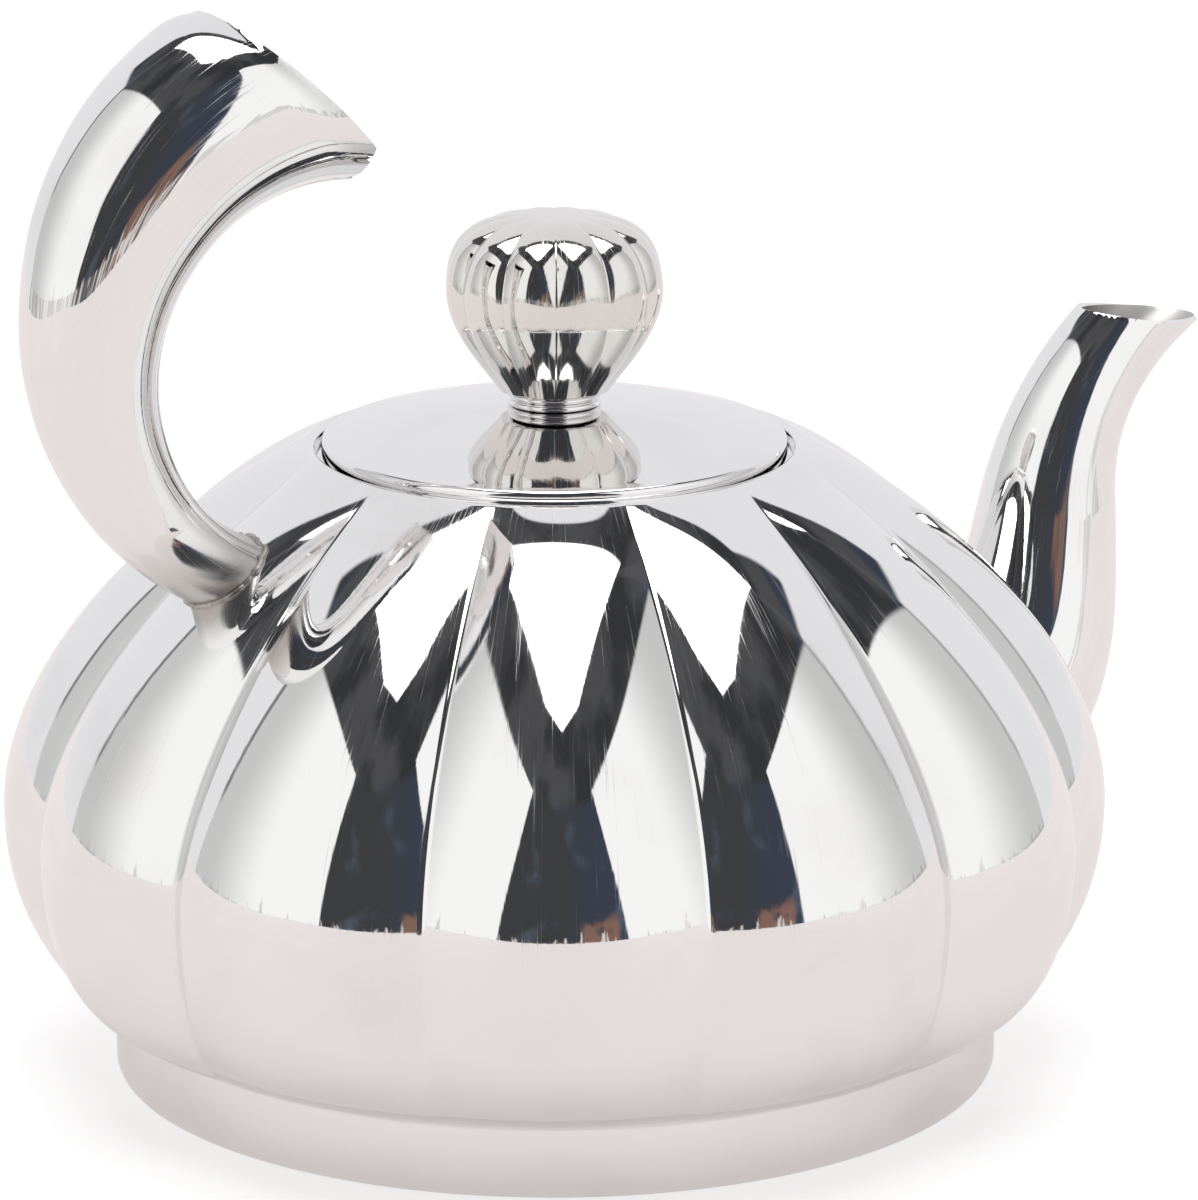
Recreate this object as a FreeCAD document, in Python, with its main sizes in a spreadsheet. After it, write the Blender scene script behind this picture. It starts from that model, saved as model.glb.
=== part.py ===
import FreeCAD, Part
import Sketcher
import math
import os

# A polished steel kettle with a lobed body. Millimetres, +Z up, +X towards the spout.
# The origin is the middle of the foot, on the surface that the kettle stands on.

Vector = FreeCAD.Vector
document = FreeCAD.newDocument("lobed_kettle")

sizes = {
    # sheet metal and fits
    "wall": 1.0,
    "weld_gap": 0.1,
    "lid_seat_gap": 0.2,
    # lobed body
    "lobe_count": 12,
    "crest_radius": 92.5,
    "lobe_depth": 7.9,
    "waist_height": 43.6,
    "crest_rise": 28.7,
    "valley_rise": 19.4,
    "shoulder_reach": 16.1,
    "crest_shoulder_drop": 5.5,
    "valley_shoulder_drop": 12.8,
    "mouth_radius": 41.5,
    "mouth_height": 105.4,
    "mouth_flute": 0.2,
    "crest_fall": 17.6,
    "valley_fall": 16.6,
    "crest_heel_reach": 9.2,
    "valley_heel_reach": 6.5,
    "heel_drop": 1.7,
    "heel_flute": 0.1,
    # foot and base
    "foot_radius": 74.3,
    "foot_height": 12.0,
    "foot_ledge": 0.2,
    "cap_thickness": 0.8,
    "core_thickness": 3.0,
    "core_margin": 4.4,
    "floor_rim": 5.0,
    # lid seat in the mouth
    "rim_width": 1.7,
    "recess_depth": 3.0,
    "recess_wall": 0.8,
    "ledge_width": 3.6,
    "ledge_lip": 3.0,
    # spout centre line: two curves that join at the neck, measured out from the crest
    "spout_root_out": -14.5,
    "spout_root_z": 44.0,
    "spout_chin_out": 5.4,
    "spout_chin_z": 46.5,
    "spout_throat_out": 5.7,
    "spout_throat_z": 64.0,
    "spout_neck_out": 7.9,
    "spout_neck_z": 82.0,
    "spout_bend_out": 9.5,
    "spout_bend_z": 95.5,
    "spout_sweep_out": 15.8,
    "spout_sweep_z": 109.0,
    "spout_tip_out": 36.6,
    "spout_tip_z": 120.0,
    "spout_root_radius": 17.7,
    "spout_tip_radius": 8.3,
    "spout_taper_lean": 0.8,
    "spout_rim_out": 11.8,
    "spout_rim_z": 115.8,
    "spout_rim_slope": 9.8,
    "spout_port_radius": 10.5,
    "spout_port_height": 57.0,
    # horn handle on a round bend, placed from the mouth
    "handle_bend_setback": 2.1,
    "handle_bend_rise": 24.8,
    "handle_bend_radius": 42.1,
    "handle_root_angle": 257.0,
    "handle_tip_angle": 84.0,
    "handle_root_radius": 6.9,
    "handle_tip_radius": 17.4,
    "handle_taper_lean": 1.05,
    "handle_cut_setback": 8.1,
    "handle_cut_rise": 42.0,
    "handle_cut_slope": 43.0,
    "handle_strip_width": 9.0,
    "handle_strip_recess": 0.6,
    "handle_cap_thickness": 1.2,
    # lid
    "lid_gap": 1.2,
    "lid_rise": 1.6,
    "lid_edge_round": 1.0,
    "lid_crown": 3.7,
    "lid_pad_radius": 7.5,
    "skirt_gap": 1.2,
    "skirt_depth": 6.4,
    # knob and its fixing
    "knob_radius": 18.2,
    "knob_flute": 0.8,
    "knob_foot_radius": 9.6,
    "knob_end_flute": 0.3,
    "knob_waist_rise": 17.0,
    "knob_height": 28.8,
    "knob_belly_fall": 7.0,
    "knob_belly_reach": 3.0,
    "knob_belly_drop": 4.5,
    "knob_crown_rise": 8.4,
    "knob_crown_reach": 9.0,
    "knob_crown_radius": 4.0,
    "knob_wall": 1.2,
    "knob_base_thickness": 1.5,
    "collar_bead": 2.2,
    "collar_bow": 1.2,
    "collar_waist": 5.7,
    "screw_radius": 2.0,
    "screw_gap": 0.15,
    "screw_head_radius": 4.0,
    "screw_head_height": 2.4,
    "screw_slot_width": 1.0,
    "screw_slot_depth": 1.1,
    "washer_radius": 6.0,
    "washer_thickness": 0.8,
    "insert_radius": 4.2,
    "insert_height": 12.0,
}

sheet = document.addObject("Spreadsheet::Sheet", "Sizes")
for row, (alias, number) in enumerate(sizes.items(), start=1):
    sheet.set("A%d" % row, alias)
    sheet.set("B%d" % row, str(number))
    sheet.setAlias("B%d" % row, alias)
document.recompute()


def size(alias):
    return float(sheet.get(alias))


def cell(alias):
    return "Sizes." + alias


def worked_out(expression):
    return float(sheet.evalExpression(expression))


# Curves

def on_curve(poles, share):
    """Point and direction at a share, from 0 to 1, of a Bezier curve."""
    curve = Part.BezierCurve()
    curve.setPoles(poles)
    return curve.value(share), curve.tangent(share)[0]


def even_shares(count):
    return [step / count for step in range(count + 1)]


def eased(share, lean):
    """Smooth rise from 0 to 1; a lean over 1 holds it back at the start."""
    leant = share ** lean
    return leant * leant * (3 - 2 * leant)


def polar(radius, angle, height):
    return Vector(radius * math.cos(angle), radius * math.sin(angle), height)


def inset_curve(poles, depth):
    """Rising meridian curve moved towards the axis, square to each leg of its poles."""
    sides = []
    for here, after in zip(poles, poles[1:]):
        leg = (after - here).normalize()
        sides.append(Vector(leg.z, 0, -leg.x))
    moved = [poles[0] - sides[0] * depth]
    for pole, before, after in zip(poles[1:], sides, sides[1:]):
        moved.append(pole - (before + after) * (depth / (1 + before.dot(after))))
    moved.append(poles[-1] - sides[-1] * depth)
    return moved


def at_height(end, beside, height):
    """Point of the line through two poles that lies at a height."""
    return beside + (end - beside) * ((height - beside.z) / (end.z - beside.z))


# Lobed forms. Steps are counted below and above the widest height.

sheet_steps = (2, 4)
inside_steps = (3, 5)


def lobed_outline(crest, valley, turn):
    """Closed outline of round lobes that meet in sharp grooves. The grooves may lie lower."""
    lobes = int(size("lobe_count"))
    half = math.pi / lobes
    arcs = []
    for lobe in range(lobes):
        angle = math.radians(turn) + 2 * half * lobe
        before = polar(valley.x, angle - half, valley.z)
        after = polar(valley.x, angle + half, valley.z)
        arcs.append(Part.Arc(before, polar(crest.x, angle, crest.z), after).toShape())
    return Part.Wire(arcs)


def lobed_form(name, crests, valleys, steps, turn, straight_runs):
    """Solid through lobed outlines, a few steps along each pair of rising crest and valley curves."""
    outlines = []
    for crest, valley, count in zip(crests, valleys, steps):
        first = 1 if outlines else 0
        for share in even_shares(count)[first:]:
            outlines.append(lobed_outline(on_curve(crest, share)[0], on_curve(valley, share)[0], turn))
    form = document.addObject("Part::Feature", name)
    form.Shape = Part.makeLoft(outlines, True, straight_runs)
    return form


# Booleans

def cut(name, base, tool):
    result = document.addObject("Part::Cut", name)
    result.Base = base
    result.Tool = tool
    return result


def fuse(name, shapes):
    result = document.addObject("Part::MultiFuse", name)
    result.Shapes = shapes
    return result


def common(name, first, second):
    result = document.addObject("Part::MultiCommon", name)
    result.Shapes = [first, second]
    return result


def cylinder(name, radius, bottom, top):
    """Upright cylinder between two heights, all three given as expressions."""
    result = document.addObject("Part::Cylinder", name)
    result.setExpression("Radius", radius)
    result.setExpression("Height", "(%s) - (%s)" % (top, bottom))
    result.setExpression(".Placement.Base.z", bottom)
    return result


# Turned pieces

def origin_plane(body, role):
    return next(feature for feature in body.Origin.OriginFeatures if feature.Role == role)


def bowed_middle(start, end, radius):
    """Middle of the arc from start to end; a positive radius bows it to the left of the way there."""
    chord = end - start
    rise = abs(radius) - math.sqrt(radius ** 2 - (chord.Length / 2) ** 2)
    side = Vector(-chord.y, chord.x, 0).normalize() * math.copysign(rise, radius)
    return (start + end) * 0.5 + side


def place_corner(sketch, edge, end, kind, axis, expression, number):
    """Dimension from the origin to one end of an edge, or a point on the axis where that is zero."""
    if abs(number) < 1e-9:
        sketch.addConstraint(Sketcher.Constraint("PointOnObject", edge, end, axis))
        return
    constraint = sketch.addConstraint(Sketcher.Constraint(kind, -1, 1, edge, end, number))
    sketch.setExpression("Constraints[%d]" % constraint, expression)


def profile_sketch(body, name, corners):
    """Closed sketch in the XZ plane. A corner is (radius, height) or (radius, height, bow), all
    expressions; with a bow, the edge that leaves the corner is an arc of that radius."""
    sketch = body.newObject("Sketcher::SketchObject", name)
    sketch.AttachmentSupport = [(origin_plane(body, "XZ_Plane"), "")]
    sketch.MapMode = "FlatFace"
    points = [Vector(worked_out(corner[0]), worked_out(corner[1]), 0) for corner in corners]
    count = len(corners)
    for index, corner in enumerate(corners):
        start, end = points[index], points[(index + 1) % count]
        if len(corner) == 3:
            middle = bowed_middle(start, end, worked_out(corner[2]))
            sketch.addGeometry(Part.Arc(start, middle, end), False)
        else:
            sketch.addGeometry(Part.LineSegment(start, end), False)
    start_of, end_of = [], []
    for index in range(count):
        # An arc in a sketch runs anticlockwise, so its first point may be where the edge ends.
        turned_round = (sketch.getPoint(index, 1) - points[index]).Length > 1e-6
        start_of.append(2 if turned_round else 1)
        end_of.append(1 if turned_round else 2)
    for index in range(count):
        after = (index + 1) % count
        joint = Sketcher.Constraint("Coincident", index, end_of[index], after, start_of[after])
        sketch.addConstraint(joint)
    for index, corner in enumerate(corners):
        place_corner(sketch, index, start_of[index], "DistanceX", -2, corner[0], points[index].x)
        place_corner(sketch, index, start_of[index], "DistanceY", -1, corner[1], points[index].y)
        if len(corner) == 3:
            bow = abs(worked_out(corner[2]))
            number = sketch.addConstraint(Sketcher.Constraint("Radius", index, bow))
            sketch.setExpression("Constraints[%d]" % number, "abs(%s)" % corner[2])
    return sketch


def turned_body(name, corners):
    body = document.addObject("PartDesign::Body", name)
    sketch = profile_sketch(body, name + "_profile", corners)
    turning = body.newObject("PartDesign::Revolution", name + "_turning")
    turning.Profile = sketch
    turning.ReferenceAxis = (sketch, ["V_Axis"])
    turning.Angle = 360
    body.Tip = turning
    return body


def ring_corners(inner, outer, bottom, top):
    return [(inner, bottom), (outer, bottom), (outer, top), (inner, top)]


# Round tapering forms along a bent line. Rings are counted in each half of the line.

smooth_rings = 4
straight_rings = 7


def tapering_form(name, stations, root_radius, tip_radius, lean, inset, straight_runs):
    """Loft through circles square to a line. A station is (share, centre, direction)."""
    circles = []
    for number, (share, centre, direction) in enumerate(stations):
        circle = document.addObject("Part::Circle", "%s_ring_%d" % (name, number))
        taper = "%s + (%s - %s) * %.6f" % (root_radius, tip_radius, root_radius, eased(share, lean))
        circle.setExpression("Radius", "%s - (%s)" % (taper, inset))
        heading = math.degrees(math.atan2(direction.x, direction.z))
        circle.Placement = FreeCAD.Placement(centre, FreeCAD.Rotation(Vector(0, 1, 0), heading))
        circles.append(circle)
    form = document.addObject("Part::Loft", name)
    form.Sections = circles
    form.Solid = True
    form.Ruled = straight_runs
    return form


def cutting_block(name, corner, slope):
    """Large block that takes away all that lies above a slope through a corner point."""
    reach = 4 * size("crest_radius")
    block = document.addObject("Part::Box", name)
    block.Length = 2 * reach
    block.Width = 2 * reach
    block.Height = reach
    tilt = FreeCAD.Rotation(Vector(0, 1, 0), slope)
    block.Placement = FreeCAD.Placement(corner + tilt.multVec(Vector(-reach, -reach, 0)), tilt)
    return block


# Body shell

def meridian(radius, rise, reach, drop, end):
    """Poles from the waist to an end point: upright at the waist, sloping at the end."""
    waist = Vector(radius, 0, size("waist_height"))
    return [waist, waist + Vector(0, 0, rise), end + Vector(reach, 0, -drop), end]


mouth_crest = Vector(size("mouth_radius"), 0, size("mouth_height"))
mouth_valley = mouth_crest - Vector(size("mouth_flute"), 0, 0)
heel_crest = Vector(size("foot_radius") + size("foot_ledge"), 0, size("foot_height"))
heel_valley = heel_crest - Vector(size("heel_flute"), 0, 0)
valley_radius = size("crest_radius") - size("lobe_depth")
upper_crest = meridian(size("crest_radius"), size("crest_rise"), size("shoulder_reach"),
                       size("crest_shoulder_drop"), mouth_crest)
upper_valley = meridian(valley_radius, size("valley_rise"), size("shoulder_reach"),
                        size("valley_shoulder_drop"), mouth_valley)
lower_crest = meridian(size("crest_radius"), -size("crest_fall"), size("crest_heel_reach"),
                       -size("heel_drop"), heel_crest)[::-1]
lower_valley = meridian(valley_radius, -size("valley_fall"), size("valley_heel_reach"),
                        -size("heel_drop"), heel_valley)[::-1]


def inset_meridians(lower, upper, depth):
    """Lower and upper curve moved inwards, with level ends."""
    lower_moved = inset_curve(lower, depth)
    upper_moved = inset_curve(upper, depth)
    lower_moved[0] = at_height(lower_moved[0], lower_moved[1], size("foot_height") + depth)
    upper_moved[-1] = at_height(upper_moved[-1], upper_moved[-2], size("mouth_height") - depth)
    return [lower_moved, upper_moved]


def body_form(name, depth, steps, straight_runs):
    crests = inset_meridians(lower_crest, upper_crest, depth)
    valleys = inset_meridians(lower_valley, upper_valley, depth)
    return lobed_form(name, crests, valleys, steps, 0, straight_runs)


recess_radius = "(%s - %s)" % (cell("mouth_radius"), cell("rim_width"))
ledge_radius = "(%s - %s)" % (recess_radius, cell("ledge_width"))
ledge_height = "(%s - %s)" % (cell("mouth_height"), cell("recess_depth"))


def make_body_shell():
    wall = cell("wall")
    seat_top = cell("mouth_height") + " - " + wall + " / 2"
    foot = cylinder("foot_band", cell("foot_radius"), "0", cell("foot_height") + " + " + wall + " / 2")
    solid = fuse("body_solid", [body_form("body_outside", 0, sheet_steps, False), foot])
    foot_bore = cylinder("foot_bore", cell("foot_radius") + " - " + wall, "-" + wall,
                         cell("foot_height") + " + 2 * " + wall)
    mouth_bore = cylinder("mouth_bore", recess_radius, ledge_height, cell("mouth_height") + " + " + wall)
    inside = body_form("body_inside", size("wall"), inside_steps, True)
    hollow = fuse("body_space", [inside, foot_bore, mouth_bore])
    seat_wall = recess_radius + " + " + cell("recess_wall")
    lip_wall = ledge_radius + " + " + cell("recess_wall")
    lip_bottom = ledge_height + " - " + cell("ledge_lip")
    ledge_under = ledge_height + " - " + cell("recess_wall")
    seat = turned_body("lid_seat", [
        (recess_radius, seat_top),
        (recess_radius, ledge_height),
        (ledge_radius, ledge_height),
        (ledge_radius, lip_bottom),
        (lip_wall, lip_bottom),
        (lip_wall, ledge_under),
        (seat_wall, ledge_under),
        (seat_wall, seat_top),
    ])
    seated = fuse("body_with_seat", [cut("body_wall", solid, hollow), seat])
    port = document.addObject("Part::Cylinder", "spout_port")
    port.setExpression("Radius", cell("spout_port_radius"))
    port.setExpression("Height", cell("crest_radius"))
    port.setExpression(".Placement.Base.x", cell("crest_radius") + " / 2")
    port.setExpression(".Placement.Base.z", cell("spout_port_height"))
    port.Placement.Rotation = FreeCAD.Rotation(Vector(0, 1, 0), 90)
    return cut("body_shell", seated, port)


# Base

def make_base():
    cap_thickness = cell("cap_thickness")
    pan_radius = "%s - %s - %s" % (cell("foot_radius"), cell("wall"), cell("weld_gap"))
    pan_bore = pan_radius + " - " + cap_thickness
    core_radius = pan_bore + " - " + cell("core_margin")
    core_top = cap_thickness + " + " + cell("core_thickness")
    floor_top = core_top + " + " + cell("wall")
    floor_bore = pan_radius + " - " + cell("wall")
    floor_rim = floor_top + " + " + cell("floor_rim")
    cap = turned_body("base_cap", [
        ("0", "0"),
        (pan_radius, "0"),
        (pan_radius, core_top),
        (pan_bore, core_top),
        (pan_bore, cap_thickness),
        ("0", cap_thickness),
    ])
    core = turned_body("base_core", ring_corners("0", core_radius, cap_thickness, core_top))
    floor = turned_body("body_floor", [
        ("0", core_top),
        (pan_radius, core_top),
        (pan_radius, floor_rim),
        (floor_bore, floor_rim),
        (floor_bore, floor_top),
        ("0", floor_top),
    ])
    return [cap, core, floor]


# Spout

def spout_point(part):
    return Vector(size("crest_radius") + size("spout_%s_out" % part), 0, size("spout_%s_z" % part))


def spout_stations(steps):
    lower = [spout_point(part) for part in ("root", "chin", "throat", "neck")]
    upper = [spout_point(part) for part in ("neck", "bend", "sweep", "tip")]
    stations = []
    for share in even_shares(steps)[:-1]:
        stations.append((share / 2, *on_curve(lower, share)))
    for share in even_shares(steps):
        stations.append(((1 + share) / 2, *on_curve(upper, share)))
    return stations


def make_spout(envelope):
    def tube(name, steps, inset, straight_runs):
        return tapering_form(name, spout_stations(steps), cell("spout_root_radius"),
                             cell("spout_tip_radius"), size("spout_taper_lean"), inset, straight_runs)

    above = cutting_block("spout_mouth_cut", spout_point("rim"), size("spout_rim_slope"))
    outside = tube("spout_outside", smooth_rings, "0", False)
    bore = tube("spout_bore", straight_rings, cell("wall"), True)
    hollowed = cut("spout_wall", cut("spout_saddle", outside, envelope), bore)
    return cut("spout_tube", hollowed, above)


# Handle

handle_bend_x = "-(%s + %s)" % (cell("mouth_radius"), cell("handle_bend_setback"))
handle_bend_z = "%s + %s" % (cell("mouth_height"), cell("handle_bend_rise"))
bend_centre = Vector(worked_out(handle_bend_x), 0, worked_out(handle_bend_z))


def handle_stations(steps):
    stations = []
    sweep = size("handle_tip_angle") - size("handle_root_angle")
    for share in even_shares(steps):
        angle = math.radians(size("handle_root_angle") + sweep * share)
        arm = Vector(math.cos(angle), 0, math.sin(angle))
        stations.append((share, bend_centre + arm * size("handle_bend_radius"), Vector(arm.z, 0, -arm.x)))
    return stations


def inner_side(name, width):
    """The part of the handle's middle that faces the fingers: inside the bend's round axis."""
    radius = cell("handle_bend_radius")
    depth = "4 * " + cell("handle_tip_radius")
    drum = document.addObject("Part::Cylinder", name + "_drum")
    drum.setExpression("Radius", radius)
    drum.setExpression("Height", depth)
    drum.setExpression(".Placement.Base.x", handle_bend_x)
    drum.setExpression(".Placement.Base.y", depth + " / 2")
    drum.setExpression(".Placement.Base.z", handle_bend_z)
    drum.Placement.Rotation = FreeCAD.Rotation(Vector(1, 0, 0), 90)
    slab = document.addObject("Part::Box", name + "_slab")
    slab.setExpression("Length", "2 * " + radius)
    slab.setExpression("Width", width)
    slab.setExpression("Height", "2 * " + radius)
    slab.setExpression(".Placement.Base.x", handle_bend_x + " - " + radius)
    slab.setExpression(".Placement.Base.y", "-(%s) / 2" % width)
    slab.setExpression(".Placement.Base.z", handle_bend_z + " - " + radius)
    return common(name, drum, slab)


def make_handle(envelope):
    def horn(name, steps, inset, straight_runs):
        return tapering_form(name, handle_stations(steps), cell("handle_root_radius"),
                             cell("handle_tip_radius"), size("handle_taper_lean"), inset, straight_runs)

    def outer_horn(name, inset):
        return horn(name, 2 * smooth_rings, inset, False)

    def inner_horn(name, inset):
        return horn(name, 2 * straight_rings, inset, True)

    corner = bend_centre + Vector(-size("handle_cut_setback"), 0, size("handle_cut_rise"))
    slope = 90 - size("handle_cut_slope")
    inward = FreeCAD.Rotation(Vector(0, 1, 0), slope).multVec(Vector(0, 0, -1))
    end_cut = cutting_block("handle_end_cut", corner, slope)
    cap_cut = cutting_block("handle_cap_cut", corner + inward * size("handle_cap_thickness"), slope)

    wall = cell("wall")
    recess = cell("handle_strip_recess")
    strip_width = "%s - 2 * %s" % (cell("handle_strip_width"), cell("weld_gap"))
    tube = cut("handle_tube", outer_horn("handle_outside", "0"), inner_horn("handle_inside", wall))
    slotted = cut("handle_slotted", tube, inner_side("handle_slot", cell("handle_strip_width")))
    outer_shell = cut("handle_outer_shell", cut("handle_trimmed", slotted, end_cut), envelope)

    strip_depth = recess + " + " + wall
    strip_inside = inner_horn("strip_inside", strip_depth)
    strip_tube = cut("strip_tube", outer_horn("strip_outside", recess), strip_inside)
    strip_zone = cut("strip_rooted", inner_side("strip_zone", strip_width), envelope)
    inner_strip = common("handle_inner_strip", strip_tube, cut("strip_trimmed", strip_zone, cap_cut))

    plug = outer_horn("cap_outside", strip_depth + " + " + cell("weld_gap"))
    end_cap = cut("handle_end_cap", common("cap_blank", plug, cap_cut), end_cut)
    return [outer_shell, inner_strip, end_cap]


# Lid, knob and fixing

lid_radius = "(%s - %s)" % (recess_radius, cell("lid_gap"))
lid_edge = cell("mouth_height") + " + " + cell("lid_rise")
lid_top = lid_edge + " + " + cell("lid_crown")
lid_under = lid_top + " - " + cell("wall")
collar_middle = lid_top + " + " + cell("collar_bead")
collar_top = collar_middle + " + " + cell("collar_bead")
screw_bore = cell("screw_radius") + " + " + cell("screw_gap")


def dome_radius(pad, edge, crown):
    """Radius of a ball that passes through two level circles, a crown's height apart."""
    depth = "((%s ^ 2 - %s ^ 2 - %s ^ 2) / (2 * %s))" % (edge, pad, crown, crown)
    return "sqrt(%s ^ 2 + %s ^ 2)" % (edge, depth)


def make_lid():
    wall = cell("wall")
    pad = cell("lid_pad_radius")
    rounding = cell("lid_edge_round")
    flat_edge = "(%s - %s)" % (lid_radius, rounding)
    inner_edge = "(%s - %s)" % (lid_radius, wall)
    rim_bottom = ledge_height + " + " + cell("lid_seat_gap")
    dome = dome_radius(pad, flat_edge, cell("lid_crown"))
    cover = turned_body("lid_cover", [
        (screw_bore, lid_under),
        (screw_bore, lid_top),
        (pad, lid_top, dome),
        (flat_edge, lid_edge, rounding),
        (lid_radius, lid_edge + " - " + rounding),
        (lid_radius, rim_bottom),
        (inner_edge, rim_bottom),
        (inner_edge, lid_edge + " - " + wall, "-" + dome_radius(pad, inner_edge, cell("lid_crown"))),
        (pad, lid_under),
    ])
    skirt_outer = "(%s - %s)" % (ledge_radius, cell("skirt_gap"))
    skirt_inner = skirt_outer + " - " + wall
    skirt_bottom = ledge_height + " - " + cell("skirt_depth")
    under_dome = dome_radius(pad, inner_edge, cell("lid_crown"))
    skirt_drop = "sqrt(%s ^ 2 - %s ^ 2) - sqrt(%s ^ 2 - %s ^ 2)" % (under_dome, pad, under_dome, skirt_outer)
    skirt_top = "%s - (%s) - %s" % (lid_under, skirt_drop, cell("weld_gap"))
    skirt = turned_body("lid_skirt", ring_corners(skirt_inner, skirt_outer, skirt_bottom, skirt_top))
    return [cover, skirt]


def knob_valley(crest, end):
    """Groove curve beside a crest curve: full depth but at the curve's open end."""
    flutes = [size("knob_flute")] * len(crest)
    flutes[end] = size("knob_end_flute")
    return [pole - Vector(flute, 0, 0) for pole, flute in zip(crest, flutes)]


def make_knob():
    foot = Vector(size("knob_foot_radius"), 0, worked_out(collar_top))
    crown = Vector(size("knob_crown_radius"), 0, foot.z + size("knob_height"))
    belly = Vector(size("knob_radius"), 0, foot.z + size("knob_waist_rise"))
    lower = [foot, foot + Vector(size("knob_belly_reach"), 0, size("knob_belly_drop")),
             belly - Vector(0, 0, size("knob_belly_fall")), belly]
    upper = [belly, belly + Vector(0, 0, size("knob_crown_rise")),
             crown + Vector(size("knob_crown_reach"), 0, 0), crown]
    half_lobe = 180 / size("lobe_count")
    valleys = [knob_valley(lower, 0), knob_valley(upper, -1)]
    outside = lobed_form("knob_outside", [lower, upper], valleys, sheet_steps, half_lobe, False)
    base_radius = "%s - 2 * %s" % (cell("knob_foot_radius"), cell("knob_wall"))
    base_bore = base_radius + " + " + cell("weld_gap")
    base_top = collar_top + " + " + cell("knob_base_thickness")
    belly_bore = "%s - %s - %s" % (cell("knob_radius"), cell("knob_flute"), cell("knob_wall"))
    belly_height = collar_top + " + " + cell("knob_waist_rise")
    crown_bore = cell("knob_crown_radius") + " + " + cell("knob_crown_reach") + " / 2"
    crown_height = "%s + %s - 3 * %s" % (collar_top, cell("knob_height"), cell("knob_wall"))
    hollow = turned_body("knob_hollow", [
        ("0", collar_top + " - " + cell("knob_wall")),
        (base_bore, collar_top + " - " + cell("knob_wall")),
        (base_bore, base_top),
        (belly_bore, belly_height),
        (crown_bore, crown_height),
        ("0", crown_height),
    ])
    shell = cut("knob_shell", outside, hollow)
    base = turned_body("knob_base", ring_corners(screw_bore, base_radius, collar_top, base_top))
    insert_top = base_top + " + " + cell("insert_height")
    insert = turned_body("knob_insert", ring_corners(screw_bore, cell("insert_radius"), base_top, insert_top))
    waist, bow = cell("collar_waist"), "-" + cell("collar_bow")
    collar = turned_body("knob_collar", [
        (screw_bore, lid_top),
        (waist, lid_top, bow),
        (waist, collar_middle, bow),
        (waist, collar_top),
        (screw_bore, collar_top),
    ])
    return [shell, base, insert, collar]


def make_fixing():
    washer_bottom = lid_under + " - " + cell("washer_thickness")
    head_bottom = washer_bottom + " - " + cell("screw_head_height")
    shank_top = "%s + %s + %s" % (collar_top, cell("knob_base_thickness"), cell("insert_height"))
    washer_corners = ring_corners(screw_bore, cell("washer_radius"), washer_bottom, lid_under)
    washer = turned_body("screw_washer", washer_corners)
    blank = turned_body("screw_blank", [
        ("0", head_bottom),
        (cell("screw_head_radius"), head_bottom),
        (cell("screw_head_radius"), washer_bottom),
        (cell("screw_radius"), washer_bottom),
        (cell("screw_radius"), shank_top),
        ("0", shank_top),
    ])
    slot = document.addObject("Part::Box", "screw_slot")
    slot.setExpression("Length", "2 * " + cell("screw_head_radius"))
    slot.setExpression("Width", cell("screw_slot_width"))
    slot.setExpression("Height", "2 * " + cell("screw_slot_depth"))
    slot.setExpression(".Placement.Base.x", "-" + cell("screw_head_radius"))
    slot.setExpression(".Placement.Base.y", "-" + cell("screw_slot_width") + " / 2")
    slot.setExpression(".Placement.Base.z", head_bottom + " - " + cell("screw_slot_depth"))
    return [washer, cut("knob_screw", blank, slot)]


weld_envelope = body_form("weld_envelope", -size("weld_gap"), sheet_steps, False)
sub_parts = [make_body_shell()]
sub_parts += make_base()
sub_parts += [make_spout(weld_envelope)]
sub_parts += make_handle(weld_envelope)
sub_parts += make_lid()
sub_parts += make_knob()
sub_parts += make_fixing()
document.recompute()

for item in document.Objects:
    if "Invalid" in item.State or "Error" in item.State:
        raise RuntimeError("%s did not build: %s" % (item.Name, item.State))
for sub_part in sub_parts:
    shape = sub_part.Shape
    if shape.isNull() or not shape.isValid() or len(shape.Solids) != 1:
        raise RuntimeError("%s is not one sound solid (%d)" % (sub_part.Name, len(shape.Solids)))

os.makedirs("parts", exist_ok=True)
for sub_part in sub_parts:
    sub_part.Label = sub_part.Name
    sub_part.Shape.exportStep("parts/%s.step" % sub_part.Label)
    print("%-20s %10.0f mm3" % (sub_part.Label, sub_part.Shape.Volume))
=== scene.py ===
import math

import bmesh
import bpy
from mathutils import Matrix, Vector, noise
from mathutils.bvhtree import BVHTree


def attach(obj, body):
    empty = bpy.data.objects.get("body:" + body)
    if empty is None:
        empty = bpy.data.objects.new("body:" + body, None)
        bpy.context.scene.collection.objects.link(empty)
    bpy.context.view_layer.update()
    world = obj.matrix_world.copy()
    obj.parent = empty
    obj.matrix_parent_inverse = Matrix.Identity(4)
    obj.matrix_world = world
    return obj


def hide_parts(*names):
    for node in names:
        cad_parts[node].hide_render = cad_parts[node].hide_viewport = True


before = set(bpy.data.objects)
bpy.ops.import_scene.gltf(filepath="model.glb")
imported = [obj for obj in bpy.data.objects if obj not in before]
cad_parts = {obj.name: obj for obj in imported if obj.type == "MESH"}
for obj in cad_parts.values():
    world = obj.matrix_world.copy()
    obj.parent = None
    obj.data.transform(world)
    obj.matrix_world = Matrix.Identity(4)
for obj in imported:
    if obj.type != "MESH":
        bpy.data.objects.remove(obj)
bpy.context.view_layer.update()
mm = 0.001
lobeCount = 12
halfLobe = math.pi / lobeCount
print("frame loaded:", len(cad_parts), "nodes")


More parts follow.
